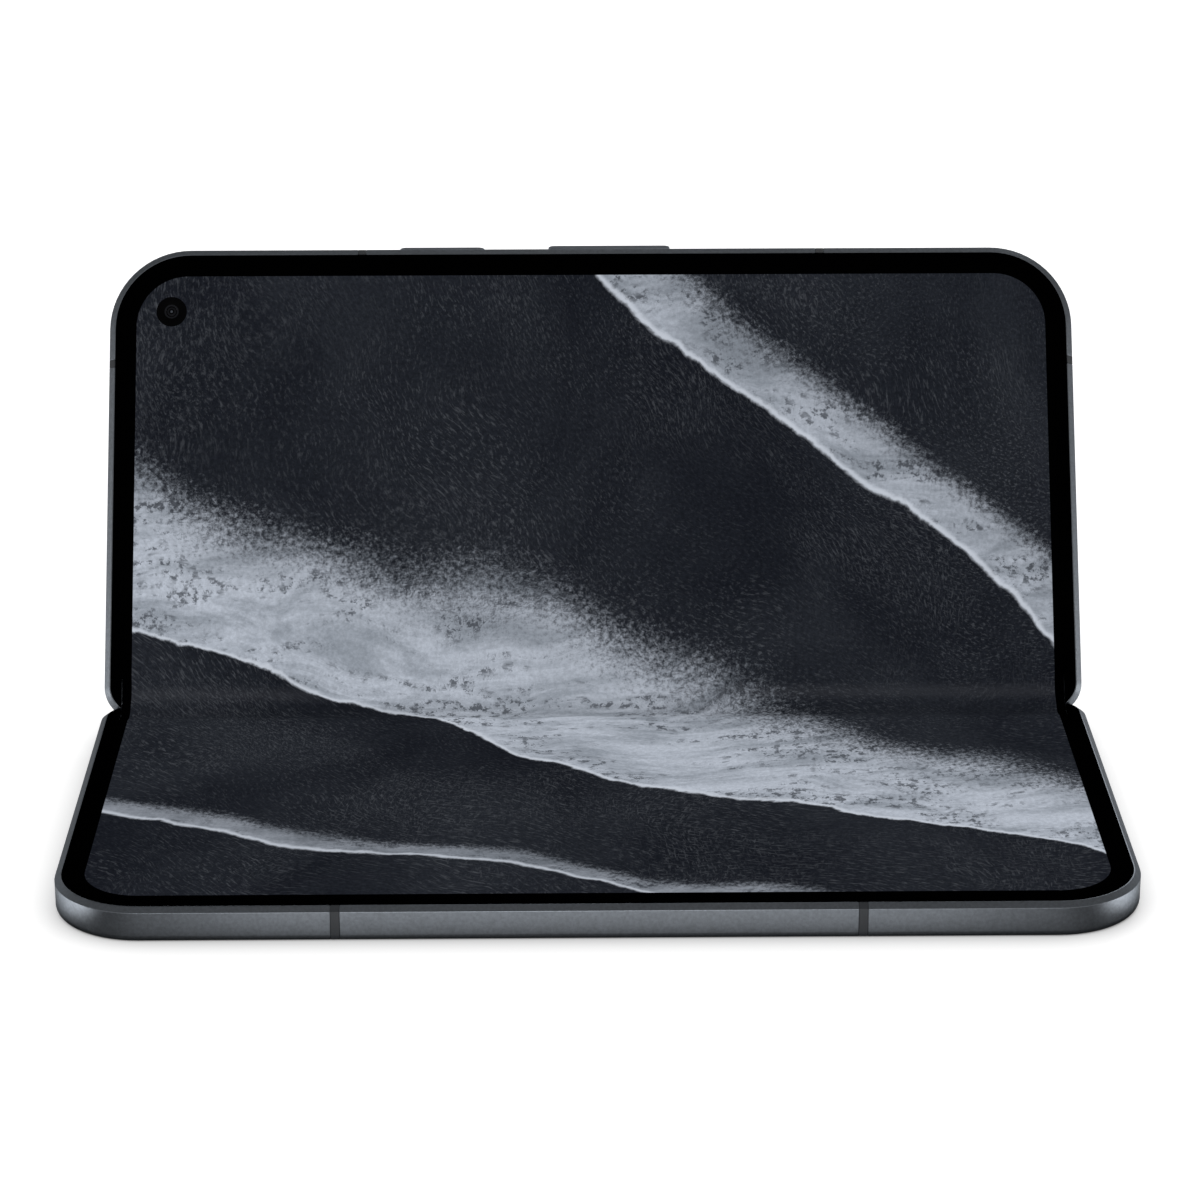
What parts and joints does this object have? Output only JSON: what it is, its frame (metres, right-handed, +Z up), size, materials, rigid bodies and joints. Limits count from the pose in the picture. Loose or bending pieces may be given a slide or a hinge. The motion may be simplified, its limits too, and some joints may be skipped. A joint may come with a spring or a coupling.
{
  "type": "foldable smartphone",
  "caption": "Book-style folding phone with an inner folding screen, a geared two-axis hinge, side keys, rear camera island and cover screen, standing half open.",
  "frame": {"origin": "centre of the lower half's outer face, which lies on the table", "axes": "+X along the hinge, +Y from the lower half's free edge towards the hinge, +Z up from the table; the upper half leans back at 120 degrees to the lower half"},
  "size_m": [0.1552, 0.1162, 0.0698],
  "materials": {
    "frame_metal": "matt anodised, dark slate",
    "antenna": "matt",
    "outer_glass": "frosted, dark",
    "lens_glass": "clear, coated",
    "screen": "gloss film over the lit panel",
    "black_trim": "matt",
    "black_part": "satin",
    "steel": "satin",
    "cell": "laminated foil pouch",
    "board": "solder mask",
    "copper": "satin copper",
    "flex": "polyimide film",
    "magnet": "nickel plated",
    "lamp": "clear lens over a yellow lamp",
    "gear": "satin"
  },
  "bodies": {
    "lower_half": {"lower_frame": "frame_metal", "lower_antenna_bands": "antenna", "cover_glass": "outer_glass", "cover_display": "screen", "cover_camera": "black_part", "lower_battery": "cell", "lower_board": "board", "receiver": "black_part", "haptic_motor": "steel", "card_reader": "steel", "lower_magnets": "magnet", "lower_bezel": "black_trim", "lower_display": "screen", "lower_backing_plate": "steel", "lower_arc_arms": "steel", "lower_arm_screws": "steel"},
    "spine": {"spine_cover": "steel", "spine_end_caps": "steel", "arc_carriers": "steel", "timing_carrier": "steel", "gear_shafts": "steel", "friction_springs": "steel", "bridge_plate": "steel", "display_fold": "screen", "hinge_flex": "flex"},
    "upper_half": {"upper_frame": "frame_metal", "upper_antenna_bands": "antenna", "back_glass": "outer_glass", "camera_island": "frame_metal", "lens_windows": "lens_glass", "lens_rings": "steel", "main_camera": "black_part", "side_cameras": "black_part", "flash_lamp": "lamp", "main_board": "board", "shield_cans": "steel", "upper_battery": "cell", "charging_coil": "copper", "port_board": "board", "charging_port": "steel", "port_tongue": "black_part", "loudspeaker": "black_part", "key_flex": "flex", "inner_camera": "black_part", "inner_camera_window": "lens_glass", "upper_magnets": "magnet", "upper_bezel": "black_trim", "upper_display": "screen", "upper_backing_plate": "steel", "upper_arc_arms": "steel", "upper_arm_screws": "steel"},
    "lower_flap": {"lower_flap": "steel"},
    "upper_flap": {"upper_flap": "steel"},
    "lower_timing_arm": {"lower_timing_arm": "steel"},
    "lower_idler_gear": {"lower_idler_gear": "gear"},
    "upper_idler_gear": {"upper_idler_gear": "gear"},
    "upper_timing_arm": {"upper_timing_arm": "steel"},
    "card_tray": {"card_tray": "frame_metal"},
    "power_key": {"power_key": "frame_metal"},
    "volume_key": {"volume_key": "frame_metal"}
  },
  "joints": [
    {"name": "spine_fold", "type": "hinge", "parent": "lower_half", "child": "spine", "pos_m": [0, 0.03625, 0.0039], "axis": [1, 0, 0], "range_deg": [-30, 60], "deforming": ["display_fold", "hinge_flex"]},
    {"name": "upper_fold", "type": "hinge", "parent": "spine", "child": "upper_half", "pos_m": [0, 0.03859, 0.00525], "axis": [1, 0, 0], "range_deg": [-30, 60]},
    {"name": "lower_flap_tilt", "type": "hinge", "parent": "lower_half", "child": "lower_flap", "pos_m": [0, 0.0295, 0.00391], "axis": [1, 0, 0], "range_deg": [-12, 6]},
    {"name": "upper_flap_tilt", "type": "hinge", "parent": "upper_half", "child": "upper_flap", "pos_m": [0, 0.04196, 0.0111], "axis": [1, 0, 0], "range_deg": [-6, 12]},
    {"name": "lower_timing_turn", "type": "hinge", "parent": "spine", "child": "lower_timing_arm", "pos_m": [0, 0.03589, 0.00242], "axis": [1, 0, 0], "range_deg": [-60, 30]},
    {"name": "lower_idler_turn", "type": "hinge", "parent": "spine", "child": "lower_idler_gear", "pos_m": [0, 0.03728, 0.00322], "axis": [1, 0, 0], "range_deg": [-30, 60]},
    {"name": "upper_idler_turn", "type": "hinge", "parent": "spine", "child": "upper_idler_gear", "pos_m": [0, 0.03866, 0.00402], "axis": [1, 0, 0], "range_deg": [-60, 30]},
    {"name": "upper_timing_turn", "type": "hinge", "parent": "spine", "child": "upper_timing_arm", "pos_m": [0, 0.04005, 0.00482], "axis": [1, 0, 0], "range_deg": [-30, 60]},
    {"name": "card_tray_slide", "type": "slide", "parent": "lower_half", "child": "card_tray", "axis": [1, 0, 0], "range_m": [0, 0.0165]},
    {"name": "power_press", "type": "slide", "parent": "upper_half", "child": "power_key", "axis": [0, -0.5, -0.866], "range_m": [0, 0.00025], "stiffness_N_per_m": 4000, "springref_m": -0.0001},
    {"name": "volume_rock", "type": "hinge", "parent": "upper_half", "child": "volume_key", "pos_m": [0.00295, 0.07558, 0.06697], "axis": [0, -0.866, 0.5], "range_deg": [-1.2, 1.2], "stiffness_Nm_per_rad": 0.4}
  ],
  "couplings": [
    {"joint": "upper_fold", "follows": "spine_fold", "ratio": 1},
    {"joint": "lower_flap_tilt", "follows": "spine_fold", "ratio": -0.2},
    {"joint": "upper_flap_tilt", "follows": "spine_fold", "ratio": 0.2},
    {"joint": "lower_timing_turn", "follows": "spine_fold", "ratio": -1},
    {"joint": "lower_idler_turn", "follows": "spine_fold", "ratio": 1},
    {"joint": "upper_idler_turn", "follows": "spine_fold", "ratio": -1},
    {"joint": "upper_timing_turn", "follows": "spine_fold", "ratio": 1}
  ]
}
